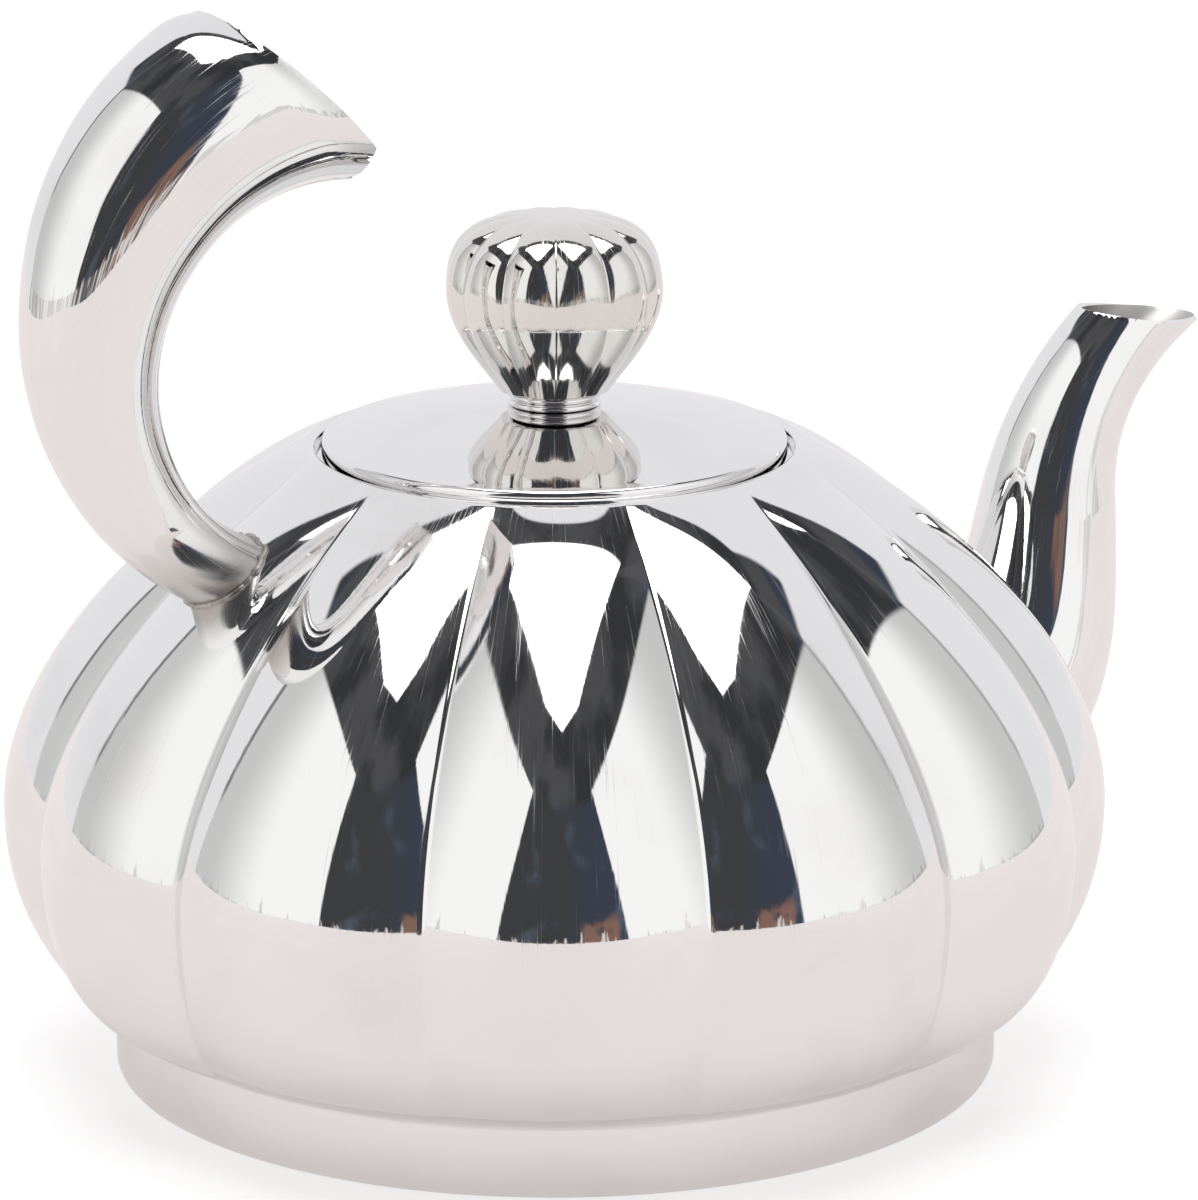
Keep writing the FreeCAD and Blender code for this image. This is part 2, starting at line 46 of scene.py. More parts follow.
# shader sums are written as plain expressions on wires
class Wire:
    def __init__(self, paint, socket):
        self.paint = paint
        self.socket = socket

    def sum(self, operation, *values):
        return self.paint.add("Math", {"operation": operation}, dict(enumerate(values)))

    def __add__(self, other):
        return self.sum("ADD", self, other)

    def __sub__(self, other):
        return self.sum("SUBTRACT", self, other)

    def __rsub__(self, other):
        return self.sum("SUBTRACT", other, self)

    def __mul__(self, other):
        return self.sum("MULTIPLY", self, other)

    def __truediv__(self, other):
        return self.sum("DIVIDE", self, other)

    def __abs__(self):
        return self.sum("ABSOLUTE", self)

    __radd__ = __add__
    __rmul__ = __mul__

    def root(self):
        return self.sum("SQRT", self)

    def turnFrom(self, other):
        return self.sum("ARCTAN2", self, other)

    def most(self, other):
        return self.sum("MAXIMUM", self, other)

    def rises(self, start, end):  # soft step from 0 at start to 1 at end
        return self.paint.add("MapRange", {"interpolation_type": "SMOOTHSTEP"},
                              {"Value": self, "From Min": start, "From Max": end})


class Paint:
    def __init__(self, tree):
        self.tree = tree
        tree.nodes.clear()

    def add(self, kind, settings=None, sockets=None, out=0):
        node = self.tree.nodes.new("ShaderNode" + kind)
        for key, value in (settings or {}).items():
            setattr(node, key, value)
        for key, value in (sockets or {}).items():
            if isinstance(value, Wire):
                self.tree.links.new(value.socket, node.inputs[key])
            else:
                node.inputs[key].default_value = value
        return Wire(self, node.outputs[out]) if node.outputs else None

    def split(self, vector):
        parts = self.add("SeparateXYZ", None, {"Vector": vector})
        return [Wire(self, socket) for socket in parts.socket.node.outputs]

    def blend(self, factor, first, second):  # colours
        return self.add("Mix", {"data_type": "RGBA"}, {0: factor, 6: first, 7: second}, 2)

    def grain(self, vector, scale, detail=2.0, roughness=0.5):
        return self.add("TexNoise", None, {"Vector": vector, "Scale": scale, "Detail": detail,
                                           "Roughness": roughness})


def rgb(red, green, blue):
    return (red, green, blue, 1.0)


def newFinish(name, build):
    material = bpy.data.materials.new(name)
    material.use_nodes = True
    paint = Paint(material.node_tree)
    shader = paint.add("BsdfPrincipled", None, build(paint))
    paint.add("OutputMaterial", None, {"Surface": shader})
    return material


mirrorSteelLook = {
    "colour": rgb(0.89, 0.885, 0.88), "cloud": rgb(0.84, 0.832, 0.826),
    "roughness": 0.016, "hazeRoughness": 0.05, "lineRoughness": 0.48,
    "lineDepth": 0.10, "dullLength": 0.0001, "dullRoughness": 0.30, "dull": rgb(0.52, 0.50, 0.48),
}


def mirrorSteel(name, around, along, **changes):
    look = dict(mirrorSteelLook, **changes)

    def build(paint):
        place = paint.add("TexCoord", None, None, 3)
        wrap = paint.add("UVMap", {"uv_map": "wrap"})
        u, v, w = paint.split(wrap)
        lines = paint.add("CombineXYZ", None, {"X": u * around, "Y": v * along, "Z": 0.0})
        fine = paint.grain(lines, 1.0, 3.0, 0.6)
        patches = paint.grain(place, 38.0, 3.0)
        haze = patches.rises(0.45, 0.75)
        scratch = fine.rises(0.56, 0.74) * (0.45 + haze * 0.55)
        dull = 1 - (v + patches * 0.02).rises(0.0, look["dullLength"])  # heat-dulled next to a weld
        bump = paint.add("Bump", None, {"Strength": look["lineDepth"], "Distance": 0.00003,
                                        "Height": fine * (0.3 + haze)})
        polished = paint.blend(haze, look["colour"], look["cloud"])
        return {
            "Base Color": paint.blend(dull, polished, look["dull"]),
            "Metallic": 1.0,
            "Roughness": look["roughness"] + haze * look["hazeRoughness"]
            + scratch * look["lineRoughness"] + dull * look["dullRoughness"],
            "Normal": bump,
        }
    return newFinish(name, build)


turnedSteelLook = {
    "colour": rgb(0.885, 0.88, 0.88), "cloud": rgb(0.84, 0.835, 0.835),
    "roughness": 0.02, "hazeRoughness": 0.06, "lineRoughness": 0.06, "lineDepth": 0.05,
}


def turnedSteel(name):  # polished on a lathe, so its fine lines run round the axis
    look = turnedSteelLook

    def build(paint):
        place = paint.add("TexCoord", None, None, 3)
        x, y, z = paint.split(place)
        reach = (x * x + y * y).root()
        turn = y.turnFrom(x)
        lines = paint.add("CombineXYZ", None, {"X": reach * 2600.0, "Y": turn * 1.3, "Z": z * 900.0})
        fine = paint.grain(lines, 1.0, 3.0, 0.6)
        haze = paint.grain(place, 45.0, 3.0).rises(0.45, 0.75)
        bump = paint.add("Bump", None, {"Strength": look["lineDepth"], "Distance": 0.00003,
                                        "Height": fine * (0.3 + haze)})
        return {
            "Base Color": paint.blend(haze, look["colour"], look["cloud"]),
            "Metallic": 1.0,
            "Roughness": look["roughness"] + haze * look["hazeRoughness"]
            + fine.rises(0.6, 0.8) * look["lineRoughness"],
            "Normal": bump,
        }
    return newFinish(name, build)


def workedMetal(name, look):  # unpolished metal: rolled grain, stains and dull patches
    def build(paint):
        place = paint.add("TexCoord", None, None, 3)
        x, y, z = paint.split(place)
        lines = paint.add("CombineXYZ", None, {"X": x * look["grain"][0], "Y": y * look["grain"][1],
                                               "Z": z * look["grain"][2]})
        fine = paint.grain(lines, 1.0, 4.0, 0.6)
        patches = paint.grain(place, look["patchScale"], 4.0).rises(0.35, 0.7)
        bump = paint.add("Bump", None, {"Strength": look["depth"], "Distance": 0.0001, "Height": fine})
        return {
            "Base Color": paint.blend(patches, look["colour"], look["stain"]),
            "Metallic": 1.0,
            "Roughness": look["roughness"] + fine * look["spread"] + patches * 0.06,
            "Normal": bump,
        }
    return newFinish(name, build)


bodySteel = mirrorSteel("bodyMirrorSteel", 2400.0, 5.0)
spoutSteel = mirrorSteel("spoutMirrorSteel", 420.0, 5.0)
handleSteel = mirrorSteel("handleMirrorSteel", 480.0, 6.0, dullLength=0.16)
knobSteel = mirrorSteel("knobMirrorSteel", 600.0, 3.0, colour=rgb(0.83, 0.81, 0.785),
                        cloud=rgb(0.77, 0.75, 0.72), roughness=0.05)
lidSteel = turnedSteel("lidTurnedSteel")
collarSteel = turnedSteel("collarTurnedSteel")
weldSteel = workedMetal("weldSteel", {
    "colour": rgb(0.46, 0.44, 0.425), "stain": rgb(0.30, 0.265, 0.24), "grain": (900.0, 900.0, 900.0),
    "patchScale": 160.0, "depth": 0.5, "roughness": 0.16, "spread": 0.22})
plainSteel = workedMetal("plainSteel", {
    "colour": rgb(0.70, 0.69, 0.68), "stain": rgb(0.61, 0.60, 0.59), "grain": (60.0, 1500.0, 1500.0),
    "patchScale": 30.0, "depth": 0.15, "roughness": 0.24, "spread": 0.16})
satinSteel = workedMetal("satinSteel", {
    "colour": rgb(0.75, 0.74, 0.73), "stain": rgb(0.66, 0.65, 0.64), "grain": (40.0, 1800.0, 1800.0),
    "patchScale": 24.0, "depth": 0.12, "roughness": 0.20, "spread": 0.14})
spoutInside = workedMetal("spoutInside", {
    "colour": rgb(0.62, 0.605, 0.59), "stain": rgb(0.50, 0.485, 0.47), "grain": (300.0, 300.0, 90.0),
    "patchScale": 60.0, "depth": 0.15, "roughness": 0.40, "spread": 0.12})
capSteel = workedMetal("capSteel", {
    "colour": rgb(0.56, 0.55, 0.54), "stain": rgb(0.48, 0.47, 0.46), "grain": (60.0, 1500.0, 60.0),
    "patchScale": 50.0, "depth": 0.15, "roughness": 0.40, "spread": 0.14})
coreAluminium = workedMetal("coreAluminium", {
    "colour": rgb(0.74, 0.75, 0.76), "stain": rgb(0.64, 0.65, 0.67), "grain": (300.0, 300.0, 300.0),
    "patchScale": 60.0, "depth": 0.2, "roughness": 0.34, "spread": 0.2})
print("finishes ready")


# curves and sheets
def onCurve(poles, share):
    a, b, c, d = poles
    rest = 1 - share
    return a * rest ** 3 + b * 3 * share * rest ** 2 + c * 3 * share ** 2 * rest + d * share ** 3


def poles(*pairs):
    return [Vector((r * mm, 0, z * mm)) for r, z in pairs]


def eased(share, lean):
    share = share ** lean
    return share * share * (3 - 2 * share)


def wrapSheet(columns, rows, place):
    bm = bmesh.new()
    bm.loops.layers.uv.new("wrap")
    bmesh.ops.create_grid(bm, x_segments=columns, y_segments=rows, size=1.0, calc_uvs=True)
    reach = max(vert.co.x for vert in bm.verts)
    for vert in bm.verts:
        vert.co = place((vert.co.x / reach + 1) / 2, (vert.co.y / reach + 1) / 2)
    bmesh.ops.remove_doubles(bm, verts=bm.verts[:], dist=2e-6)
    faceOutwards(bm)
    return bm


def faceOutwards(bm):
    bmesh.ops.recalc_face_normals(bm, faces=bm.faces[:])
    bm.normal_update()
    side = max(bm.faces, key=lambda face: face.calc_center_median().y)
    if side.normal.y < 0:
        bmesh.ops.reverse_faces(bm, faces=bm.faces[:])
        bm.normal_update()


def spunBody(profile, steps):
    bm = bmesh.new()
    corners = [bm.verts.new((r * mm, 0, z * mm)) for r, z in profile]
    edges = [bm.edges.new(pair) for pair in zip(corners, corners[1:])]
    bmesh.ops.spin(bm, geom=corners + edges, cent=(0, 0, 0), axis=(0, 0, 1), angle=math.tau,
                   steps=steps, use_merge=True)
    bmesh.ops.remove_doubles(bm, verts=bm.verts[:], dist=2e-6)
    faceOutwards(bm)
    return bm


def addPiece(name, bm, body, finish, nodes=(), sharp=None):
    mesh = bpy.data.meshes.new(name)
    bm.to_mesh(mesh)
    bm.free()
    for polygon in mesh.polygons:
        polygon.use_smooth = True
    if sharp:
        mesh.set_sharp_from_angle(angle=math.radians(sharp))
    mesh.materials.append(finish)
    piece = bpy.data.objects.new(name, mesh)
    bpy.context.scene.collection.objects.link(piece)
    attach(piece, body)
    if nodes:
        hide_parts(*nodes)
    return piece


def roundEdges(piece, width, limit):
    rounding = piece.modifiers.new("edge", "BEVEL")
    rounding.width = width * mm
    rounding.segments = 3
    rounding.limit_method = "ANGLE"
    rounding.angle_limit = math.radians(limit)
    return rounding


def addWall(piece, thickness, edgeRound, inside):
    piece.data.materials.append(inside)
    wall = piece.modifiers.new("wall", "SOLIDIFY")
    wall.material_offset = 1
    wall.thickness = thickness * mm
    wall.offset = -1
    if edgeRound:
        roundEdges(piece, edgeRound, 60)


def lobePoint(crest, valley, turn, share):  # share runs from groove -1 over the crest 0 to groove 1
    halfChord = valley.x * math.sin(halfLobe)
    middle = Vector((valley.x * math.cos(halfLobe), 0, valley.z))
    rise = crest - middle
    radius = (halfChord ** 2 + rise.length_squared) / (2 * rise.length)
    span = math.asin(min(1, halfChord / radius))
    bend = span * share
    point = middle + rise.normalized() * (radius * math.cos(bend) - radius + rise.length)
    point.y = radius * math.sin(bend)
    return Matrix.Rotation(turn, 3, "Z") @ point


def waver(point, size, depth):  # slight unevenness left by hand polishing
    return noise.noise(point / (size * mm)) * depth * mm


def lobedPlace(rows, firstTurn, ripple):
    def place(u, v):
        crest, valley = rows[round(v * (len(rows) - 1))]
        lobe = min(int(u * lobeCount + 1e-6), lobeCount - 1)
        share = 2 * (u * lobeCount - lobe) - 1
        share = share * (1.25 - 0.25 * share * share)  # closer columns at the grooves
        point = lobePoint(crest, valley, firstTurn + 2 * halfLobe * lobe, share)
        level = Vector((point.x, point.y, 0)).normalized()
        return point + level * waver(point, ripple[0], ripple[1])
    return place


# pumpkin body with its foot band, shoulder and lid seat
bodySizes = {
    "lowerCrest": poles((74.5, 12.0), (83.7, 13.7), (92.5, 26.0), (92.5, 43.6)),
    "lowerValley": poles((74.44, 12.0), (81.9, 13.7), (87.6, 26.6), (87.6, 43.6)),
    "upperCrest": poles((92.5, 43.6), (92.5, 72.3), (57.6, 99.9), (41.5, 105.4)),
    "upperValley": poles((87.6, 43.6), (87.6, 66.5), (57.5, 95.3), (41.36, 105.4)),
    "foot": [(73.6, 0.0), (74.1, 0.15), (74.3, 0.6), (74.3, 3.0), (74.3, 6.0), (74.3, 9.0), (74.3, 11.4),
             (74.3, 11.8)],
    "mouth": [(41.3, 105.4), (40.9, 105.4), (40.3, 105.4), (39.95, 105.3), (39.8, 105.0), (39.8, 104.0),
              (39.8, 102.9), (39.6, 102.5), (39.2, 102.4), (37.5, 102.4), (36.7, 102.4), (36.3, 102.2),
              (36.2, 101.6), (36.2, 99.4)],
    "columnsPerLobe": 30, "lowerRows": 34, "upperRows": 72, "wall": 0.8, "ripple": (14.0, 0.03),
}


def plainRows(pairs):  # rows with no lobes
    return [(Vector((r * mm, 0, z * mm)), Vector((r * mm, 0, z * mm))) for r, z in pairs]


def curveRows(crest, valley, count, lean):
    shares = [(row / count) ** lean for row in range(count + 1)]
    return [(onCurve(crest, share), onCurve(valley, share)) for share in shares]


def bodyRows():
    rows = plainRows(bodySizes["foot"])
    rows += curveRows(bodySizes["lowerCrest"], bodySizes["lowerValley"], bodySizes["lowerRows"], 1.5)
    rows += curveRows(bodySizes["upperCrest"], bodySizes["upperValley"], bodySizes["upperRows"], 1.0)[1:]
    rows += plainRows(bodySizes["mouth"])
    return rows


rows = bodyRows()
bodySheet = wrapSheet(lobeCount * bodySizes["columnsPerLobe"], len(rows) - 1,
                      lobedPlace(rows, 0.0, bodySizes["ripple"]))
bodyTree = BVHTree.FromBMesh(bodySheet)
bodyPiece = addPiece("lobedBody", bodySheet, "pot", bodySteel, ["body_shell"])
addWall(bodyPiece, bodySizes["wall"], 0, satinSteel)
print("body ready")


# tubes that start on the body's skin
def outsideBody(point):
    near, normal, index, far = bodyTree.find_nearest(point)
    return (point - near).dot(normal) > 0


def startOnBody(tube, u):  # share of the tube's line where this strip leaves the body
    low, high = 0.0, 0.6
    for step in range(24):
        middle = (low + high) / 2
        if outsideBody(tube(u, middle)):
            high = middle
        else:
            low = middle
    return high


def trimmedTube(tube, columns):
    starts = [startOnBody(tube, column / columns) for column in range(columns)] * 2

    def place(u, v):
        start = starts[round(u * columns)]
        return tube(u, start + (1 - start) * v)
    return place, [tube(column / columns, starts[column]) for column in range(columns)]


spoutSizes = {
    "root": poles((78.0, 44.0), (97.9, 46.5), (98.2, 64.0), (100.4, 82.0)),
    "tip": poles((100.4, 82.0), (102.0, 95.5), (108.3, 109.0), (129.1, 120.0)),
    "rootRadius": 17.7, "tipRadius": 8.3, "lean": 0.8, "cutPoint": (104.3, 115.8), "cutSlope": 9.8,
    "wall": 1.0, "columns": 128, "rows": 96, "lipRound": 0.35, "ripple": (12.0, 0.05),
}


def spoutLine(share):
    if share < 0.5:
        return onCurve(spoutSizes["root"], share * 2)
    return onCurve(spoutSizes["tip"], share * 2 - 1)


def spoutTube(u, v):
    here = spoutLine(v)
    ahead = (spoutLine(min(1, v + 0.002)) - spoutLine(max(0, v - 0.002))).normalized()
    across = Vector((ahead.z, 0, -ahead.x))
    change = eased(v, spoutSizes["lean"])
    radius = (spoutSizes["rootRadius"] * (1 - change) + spoutSizes["tipRadius"] * change) * mm
    turn = math.tau * u
    out = across * math.cos(turn) + Vector((0, 1, 0)) * math.sin(turn)
    return here + out * (radius + waver(here + out * radius, *spoutSizes["ripple"]))


def makeSpout():
    place, seam = trimmedTube(spoutTube, spoutSizes["columns"])
    bm = wrapSheet(spoutSizes["columns"], spoutSizes["rows"], place)
    slope = math.radians(spoutSizes["cutSlope"])
    x, z = spoutSizes["cutPoint"]
    bmesh.ops.bisect_plane(bm, geom=bm.verts[:] + bm.edges[:] + bm.faces[:], dist=1e-7, clear_outer=True,
                           plane_co=(x * mm, 0, z * mm), plane_no=(math.sin(slope), 0, math.cos(slope)))
    piece = addPiece("spout", bm, "pot", spoutSteel, ["spout_tube"])
    addWall(piece, spoutSizes["wall"], spoutSizes["lipRound"], spoutInside)
    return seam


spoutSeam = makeSpout()
print("spout ready")


handleSizes = {
    "centre": (-43.6, 130.2), "bend": 42.1, "startAngle": 257.0, "endAngle": 84.0, "rootRadius": 6.9,
    "tipRadius": 17.4, "lean": 1.05, "cutPoint": (-51.7, 172.2), "cutSlope": 43.0,
    "edges": (4.0, 5.4, 6.1), "shares": (0.56, 0.66, 0.80), "stripStep": 0.16,
    "grooveDepth": 0.3, "lipHeight": 0.2, "stripDepth": 0.7,
    "columns": 144, "rows": 170, "rollLength": 6.0, "roll": 1.5,
    "capInset": 2.2, "capStep": 0.3, "capDepth": 0.7, "edgeRound": 1.1, "ripple": (14.0, 0.16),
}


def handleCut():
    slope = math.radians(handleSizes["cutSlope"])
    x, z = handleSizes["cutPoint"]
    return Vector((x * mm, 0, z * mm)), Vector((math.sin(slope), 0, math.cos(slope)))


def handleTube(u, v):
    sizes = handleSizes
    angle = math.radians(sizes["startAngle"] + (sizes["endAngle"] - sizes["startAngle"]) * v)
    out = Vector((math.cos(angle), 0, math.sin(angle)))
    here = Vector((sizes["centre"][0] * mm, 0, sizes["centre"][1] * mm)) + out * sizes["bend"] * mm
    change = eased(v, sizes["lean"])
    radius = sizes["rootRadius"] * (1 - change) + sizes["tipRadius"] * change
    side = 2 * u - 1
    stripEdge, lipEdge, grooveEdge = [math.pi - math.asin(half / radius) for half in sizes["edges"]]
    far = abs(side)
    wallEnd, grooveEnd, lipEnd = sizes["shares"]
    if far < wallEnd:  # the wide outer wall
        turn = grooveEdge * far / wallEnd
    elif far < grooveEnd:  # a fine groove beside the lip
        step = (far - wallEnd) / (grooveEnd - wallEnd)
        turn = grooveEdge + (lipEdge - grooveEdge) * step
        radius -= sizes["grooveDepth"] * math.sin(math.pi * step) ** 2
    elif far < lipEnd:  # a rolled lip along the strip
        step = (far - grooveEnd) / (lipEnd - grooveEnd)
        turn = lipEdge + (stripEdge - lipEdge) * step
        radius += sizes["lipHeight"] * math.sin(math.pi * step)
    else:  # the strip, set in from the lip
        step = (far - lipEnd) / (1 - lipEnd)
        turn = stripEdge + (math.pi - stripEdge) * step
        radius -= sizes["stripDepth"] * min(1, step / sizes["stripStep"])
    turn = math.copysign(turn, side)
    away = out * math.cos(turn) + Vector((0, 1, 0)) * math.sin(turn)
    cutPlace, cutNormal = handleCut()
    fromCut = max(0, (cutPlace - here - away * radius * mm).dot(cutNormal))
    radius -= sizes["roll"] * max(0, 1 - fromCut / (sizes["rollLength"] * mm)) ** 2  # closes in at its end
    return here + away * (radius * mm + waver(here + away * radius * mm, *sizes["ripple"]))


def makeHandle():
    sizes = handleSizes
    place, seam = trimmedTube(handleTube, sizes["columns"])
    bm = wrapSheet(sizes["columns"], sizes["rows"], place)
    cutPlace, cutNormal = handleCut()
    cut = bmesh.ops.bisect_plane(bm, geom=bm.verts[:] + bm.edges[:] + bm.faces[:], dist=1e-7,
                                 clear_outer=True, plane_co=cutPlace, plane_no=cutNormal)
    rim = [item for item in cut["geom_cut"] if isinstance(item, bmesh.types.BMEdge)]
    cap = bmesh.ops.contextual_create(bm, geom=rim)["faces"]
    bmesh.ops.inset_region(bm, faces=cap, thickness=sizes["capInset"] * mm, depth=0, use_even_offset=True)
    bmesh.ops.inset_region(bm, faces=cap, thickness=sizes["capStep"] * mm, depth=-sizes["capDepth"] * mm)
    for face in cap:
        face.material_index = 1
    faceOutwards(bm)
    piece = addPiece("hornHandle", bm, "pot", handleSteel,
                     ["handle_outer_shell", "handle_inner_strip", "handle_end_cap"], 40)
    piece.data.materials.append(capSteel)
    roundEdges(piece, sizes["edgeRound"], 55).material = 1
    return seam


handleSeam = makeHandle()
print("handle ready")


# weld beads where the tubes meet the body
def addBead(name, seam, radius, ripple):
    count = len(seam)

    def place(u, v):
        step = round(u * count)
        here = seam[step % count]
        ahead = (seam[(step + 1) % count] - seam[(step - 1) % count]).normalized()
        near, up, index, far = bodyTree.find_nearest(here)
        across = ahead.cross(up).normalized()
        rough = noise.noise(here * 420) * 0.6 + noise.noise(here * 1300) * 0.4
        size = radius * mm * (1 + ripple * rough)
        turn = math.tau * v
        return here + (across * math.cos(turn) + up * math.sin(turn) * 0.7) * size
    addPiece(name, wrapSheet(count, 12, place), "pot", weldSteel)


addBead("handleWeld", handleSeam, radius=0.75, ripple=0.8)
addBead("spoutWeld", spoutSeam, radius=0.35, ripple=0.3)
print("welds ready")


# lid with its rolled edge, beaded collar and fluted knob
lidSizes = {"hole": 2.1, "pad": 7.5, "top": 112.2, "edge": 107.0, "radius": 38.6, "round": 1.0,
            "rimBottom": 102.7, "wall": 1.0, "domeRows": 26, "steps": 240}


def domeHeight(reach, edgeReach, top, edge, pad):
    middle = (pad ** 2 + top ** 2 - edgeReach ** 2 - edge ** 2) / (2 * (top - edge))
    radius = math.hypot(pad, top - middle)
    return middle + math.sqrt(radius ** 2 - reach ** 2)


def lidProfile():
    sizes = lidSizes
    flat = sizes["radius"] - sizes["round"]
    profile = [(sizes["hole"], sizes["top"])]
    for row in range(sizes["domeRows"] + 1):
        reach = sizes["pad"] + (flat - sizes["pad"]) * row / sizes["domeRows"]
        profile.append((reach, domeHeight(reach, flat, sizes["top"], sizes["edge"], sizes["pad"])))
    for row in range(1, 7):
        turn = math.pi / 2 * row / 6
        profile.append((flat + sizes["round"] * math.sin(turn),
                        sizes["edge"] - sizes["round"] * (1 - math.cos(turn))))
    inner = sizes["radius"] - sizes["wall"]
    profile += [(sizes["radius"], sizes["rimBottom"] + 0.3), (sizes["radius"] - 0.3, sizes["rimBottom"]),
                (inner, sizes["rimBottom"]), (inner, sizes["edge"] - sizes["wall"])]
    for row in range(1, 9):
        reach = inner + (sizes["pad"] - inner) * row / 8
        profile.append((reach, domeHeight(reach, inner, sizes["top"], sizes["edge"], sizes["pad"])
                        - sizes["wall"]))
    profile += [(sizes["hole"], sizes["top"] - sizes["wall"]), (sizes["hole"], sizes["top"])]
    return profile


addPiece("lidCover", spunBody(lidProfile(), lidSizes["steps"]), "lid", lidSteel,
         ["lid_cover"], 40)

collarSizes = {"bottom": 112.2, "bead": 1.3, "count": 2, "waist": 7.0, "bow": 0.9, "bore": 2.2, "rows": 10}


def collarProfile():
    sizes = collarSizes
    profile = [(sizes["bore"], sizes["bottom"])]
    for bead in range(sizes["count"]):
        for row in range(sizes["rows"] + 1):
            share = row / sizes["rows"]
            swell = math.sqrt(max(0, 1 - (2 * share - 1) ** 2))
            profile.append((sizes["waist"] + sizes["bow"] * swell,
                            sizes["bottom"] + sizes["bead"] * (bead + share)))
    profile.append((sizes["bore"], sizes["bottom"] + sizes["bead"] * sizes["count"]))
    return profile


addPiece("knobCollar", spunBody(collarProfile(), 96), "lid", collarSteel,
         ["knob_collar"], 60)

knobSizes = {
    "lower": [(9.2, 114.8), (12.4, 119.4), (18.2, 125.1), (18.2, 132.1)],
    "upper": [(18.2, 132.1), (18.2, 140.5), (13.0, 143.9), (4.0, 143.9)],
    "lowerFlutes": (0.3, 0.5, 0.8, 0.8), "upperFlutes": (0.8, 1.5, 1.4, 0.5),
    "foot": [(7.0, 115.0), (8.8, 114.85)],
    "crown": [(3.2, 143.9), (2.0, 143.92), (0.9, 143.93), (0.0, 143.93)],
    "columnsPerLobe": 22, "rows": 36, "ripple": (6.0, 0.02),
}


def knobRows():
    sizes = knobSizes
    lower, upper = sizes["lower"], sizes["upper"]
    lowerGroove = [(r - depth, z) for (r, z), depth in zip(lower, sizes["lowerFlutes"])]
    upperGroove = [(r - depth, z) for (r, z), depth in zip(upper, sizes["upperFlutes"])]
    rows = plainRows(sizes["foot"])
    rows += curveRows(poles(*lower), poles(*lowerGroove), sizes["rows"], 1.0)
    rows += curveRows(poles(*upper), poles(*upperGroove), sizes["rows"], 1.0)[1:]
    rows += plainRows(sizes["crown"][:-1])
    return rows


def makeKnob():
    rows = knobRows()
    bm = wrapSheet(lobeCount * knobSizes["columnsPerLobe"], len(rows) - 1,
                   lobedPlace(rows, halfLobe, knobSizes["ripple"]))
    top = max(vert.co.z for vert in bm.verts)
    rim = [edge for edge in bm.edges if edge.is_boundary and edge.verts[0].co.z > top - 0.5 * mm]
    bmesh.ops.contextual_create(bm, geom=rim)
    faceOutwards(bm)
    return addPiece("flutedKnob", bm, "lid", knobSteel, ["knob_shell"])


makeKnob()
print("lid and knob ready")


# CAD pieces that stay as they are
keptFinishes = {
    "base_cap": satinSteel, "base_core": coreAluminium, "body_floor": satinSteel, "lid_skirt": plainSteel,
    "knob_base": plainSteel, "knob_insert": plainSteel, "screw_washer": plainSteel, "knob_screw": plainSteel,
}
for nodeName, finish in keptFinishes.items():
    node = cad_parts[nodeName]
    node.data.materials.clear()
    node.data.materials.append(finish)
print("kept pieces finished")


# floor, studio light and camera
cameraSizes = {"place": (-551.6, -912.3, 372.1), "target": (0.0, 0.0, 60.0), "right": 7.4, "up": 17.72,
               "lens": 198.9}
studioSizes = {
    "floorReach": 1.05, "floorColour": rgb(0.755, 0.705, 0.698), "floorCloud": rgb(0.735, 0.685, 0.678),
    "floorSeen": rgb(0.97, 0.965, 0.962), "floorShade": 0.5, "floorGlow": 0.63,
    "topLight": rgb(4.2, 4.2, 4.2), "sweep": rgb(0.84, 0.835, 0.855), "joint": rgb(0.12, 0.12, 0.125),
    "wallGlow": 1.02, "wallFade": 0.40, "dimLeft": rgb(0.052, 0.053, 0.058), "dimRight": rgb(0.046, 0.056, 0.082),
    "dimCloud": rgb(0.10, 0.125, 0.175), "ceiling": rgb(0.038, 0.039, 0.043),
    "ceilingCloud": rgb(0.078, 0.079, 0.084), "warm": rgb(0.24, 0.14, 0.11),
    "thingDark": rgb(0.16, 0.15, 0.15), "thingPale": rgb(0.86, 0.84, 0.83), "thingWarm": rgb(0.34, 0.20, 0.15),
}

eye = Vector(cameraSizes["place"]) * mm
target = Vector(cameraSizes["target"]) * mm
gaze = (target - eye).normalized()
rightward = gaze.cross(Vector((0, 0, 1))).normalized()
upward = rightward.cross(gaze)
aim = target + rightward * cameraSizes["right"] * mm + upward * cameraSizes["up"] * mm


def makeFloor():
    bm = bmesh.new()
    bmesh.ops.create_grid(bm, x_segments=24, y_segments=24, size=studioSizes["floorReach"])
    turn = math.atan2(gaze.y, gaze.x)
    bmesh.ops.rotate(bm, verts=bm.verts[:], cent=(0, 0, 0), matrix=Matrix.Rotation(turn, 3, "Z"))
    mesh = bpy.data.meshes.new("studioFloor")
    bm.to_mesh(mesh)
    bm.free()

    def build(paint):
        place = paint.add("TexCoord", None, None, 3)
        speck = paint.grain(place, 9.0, 4.0).rises(0.3, 0.7)
        paper = paint.blend(speck, studioSizes["floorColour"], studioSizes["floorCloud"])
        seen = paint.add("LightPath")
        sheet = paint.blend(seen, paper, studioSizes["floorSeen"])
        return {"Base Color": paint.blend(studioSizes["floorShade"], sheet, rgb(0.0, 0.0, 0.0)), "Roughness": 0.75,
                "Emission Color": sheet, "Emission Strength": studioSizes["floorGlow"]}
    mesh.materials.append(newFinish("floorPaper", build))
    floor = bpy.data.objects.new("studioFloor", mesh)
    bpy.context.scene.collection.objects.link(floor)


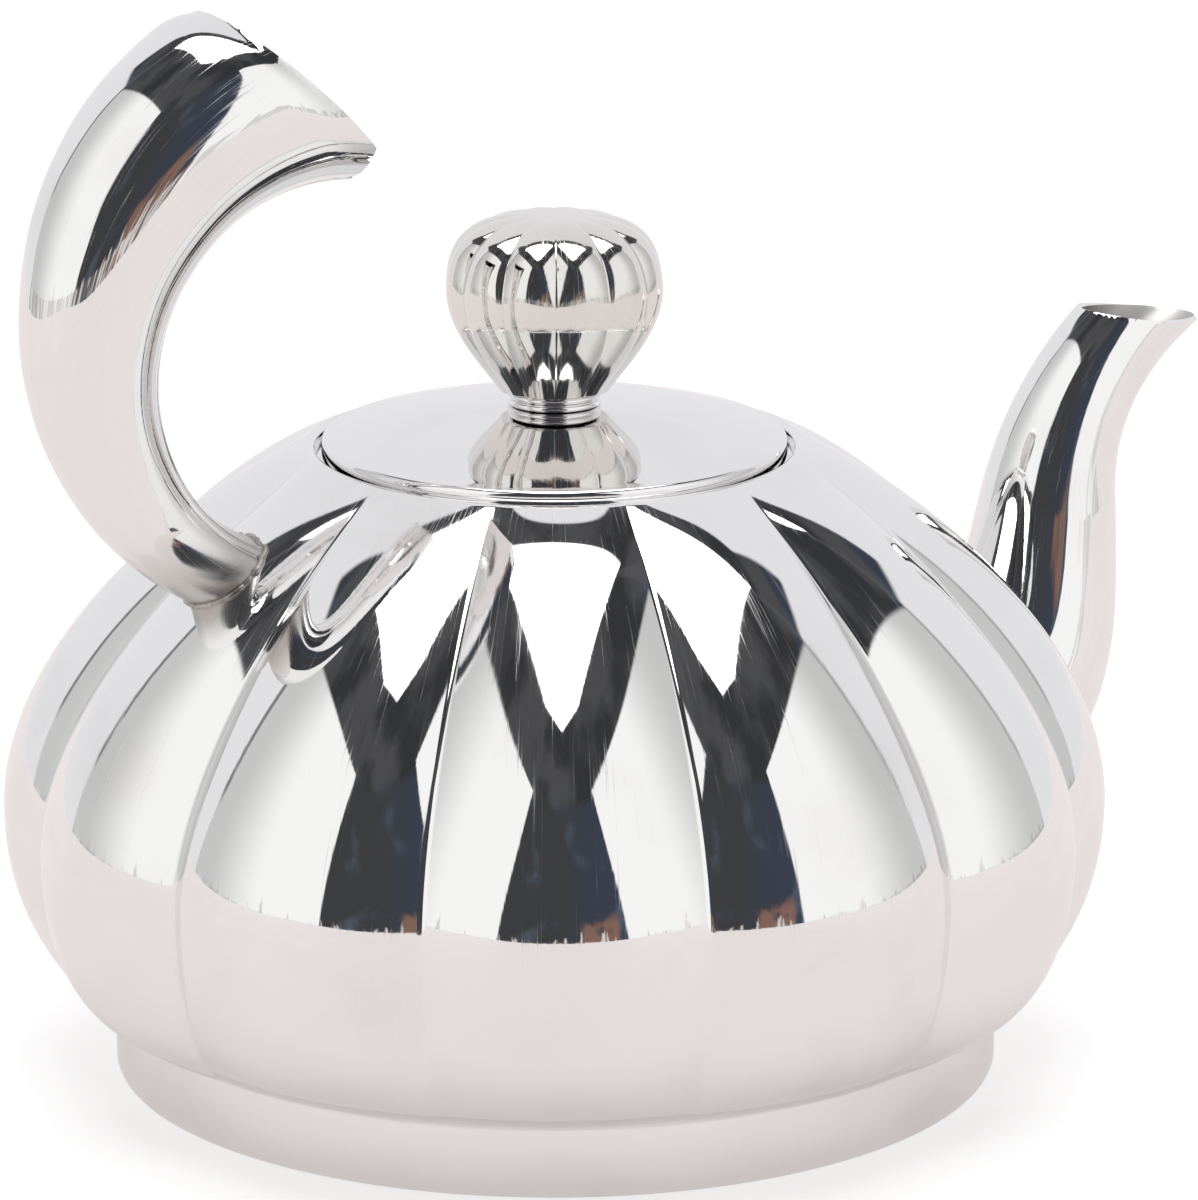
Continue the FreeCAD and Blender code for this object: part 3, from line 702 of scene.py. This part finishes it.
def makeStudio():
    sizes = studioSizes
    world = bpy.data.worlds.new("softStudio")
    world.use_nodes = True
    bpy.context.scene.world = world
    paint = Paint(world.node_tree)
    x, y, z = paint.split(paint.add("TexCoord"))
    level = Vector((gaze.x, gaze.y, 0)).normalized()
    back = x * level.x + y * level.y  # away from the front of the room
    across = x * rightward.x + y * rightward.y
    wide = abs(across).most(0.001)
    high = z.most(0.02)
    # five-sided softbox overhead, its point to the front
    ahead = back / high
    aside = abs(across) / high
    topBox = ((ahead - aside * 0.72).rises(-0.50, -0.48) * (ahead - aside * 1.72).rises(-0.66, -0.64)
              * (1 - ahead.rises(0.27, 0.29)) * z.rises(0.02, 0.1))
    # pale walls at both sides, brightest at their front edges
    slant = back / wide
    climb = z / wide
    pastWall = slant.rises(0.455, 0.475)
    wall = ((slant + climb * 0.25).rises(-1.60, -1.54) * (1 - (climb + slant * 0.65).rises(1.28, 1.33))
            * (1 - pastWall))
    wallGlow = sizes["wallGlow"] - slant.rises(-0.5, 0.3) * sizes["wallFade"]
    joint = (slant.rises(0.43, 0.445) * (1 - slant.rises(0.485, 0.50)) * climb.rises(0.2, 0.3)
             * (1 - across.rises(-0.1, 0.1) * 0.5))
    # sweep behind, with dim ceiling between it and the walls
    depth = back.most(0.001)
    sweep = (pastWall * (1 - (z / depth).rises(2.15, 2.3))
             * (1 - (1 - slant.rises(0.88, 0.95)) * climb.rises(1.0, 1.08)))
    # dim front of the room
    clutter = paint.grain(paint.add("TexCoord"), 3.5, 3.0)
    dim = paint.blend(across.rises(-0.1, 0.4), sizes["dimLeft"], sizes["dimRight"])
    dim = paint.blend(clutter.rises(0.5, 0.8), dim, sizes["dimCloud"])
    ceiling = paint.blend(clutter.rises(0.40, 0.62), sizes["ceiling"], sizes["ceilingCloud"])
    dim = paint.blend(z.rises(0.70, 0.74), dim, ceiling)
    warm = (across.rises(0.12, 0.2) * (1 - across.rises(0.45, 0.5)) * (1 - z.rises(0.08, 0.2))
            * (1 - back.rises(-0.3, -0.1)))
    dim = paint.blend(warm * clutter.rises(0.42, 0.55), dim, sizes["warm"])
    room = paint.blend(wall, dim, paint.add("CombineColor", None, {0: wallGlow, 1: wallGlow, 2: wallGlow}))
    # small things standing along the horizon
    row = paint.add("CombineXYZ", None, {"X": x * 15.0, "Y": y * 15.0, "Z": 0.0})
    tall = paint.grain(row, 1.0, 3.0, 0.6).rises(0.52, 0.80) * 0.15
    standing = 1 - (z + 0.05 - tall).rises(0.0, 0.012)
    kind = paint.grain(row, 0.9, 2.0)
    things = paint.blend(kind.rises(0.50, 0.54), sizes["thingDark"], sizes["thingPale"])
    things = paint.blend(kind.rises(0.62, 0.64), things, sizes["thingWarm"])
    room = paint.blend(standing * (0.75 - wall * 0.4), room, things)
    room = paint.blend(sweep, room, sizes["sweep"])
    room = paint.blend(joint * 0.8, room, sizes["joint"])
    room = paint.blend(topBox, room, sizes["topLight"])
    seen = paint.add("LightPath")
    room = paint.blend(seen, room, rgb(1.0, 1.0, 1.0))
    glow = paint.add("Background", None, {"Color": room, "Strength": 1.0})
    paint.add("OutputWorld", None, {"Surface": glow})


def makeCamera():
    data = bpy.data.cameras.new("photoCamera")
    data.lens = cameraSizes["lens"]
    data.sensor_width = 36.0
    data.clip_start = 0.01
    data.clip_end = 50.0
    camera = bpy.data.objects.new("photoCamera", data)
    camera.location = eye
    camera.rotation_euler = (aim - eye).to_track_quat("-Z", "Y").to_euler()
    bpy.context.scene.collection.objects.link(camera)
    bpy.context.scene.camera = camera


bpy.context.scene.view_settings.view_transform = "Standard"
makeFloor()
makeStudio()
makeCamera()
print("studio ready")
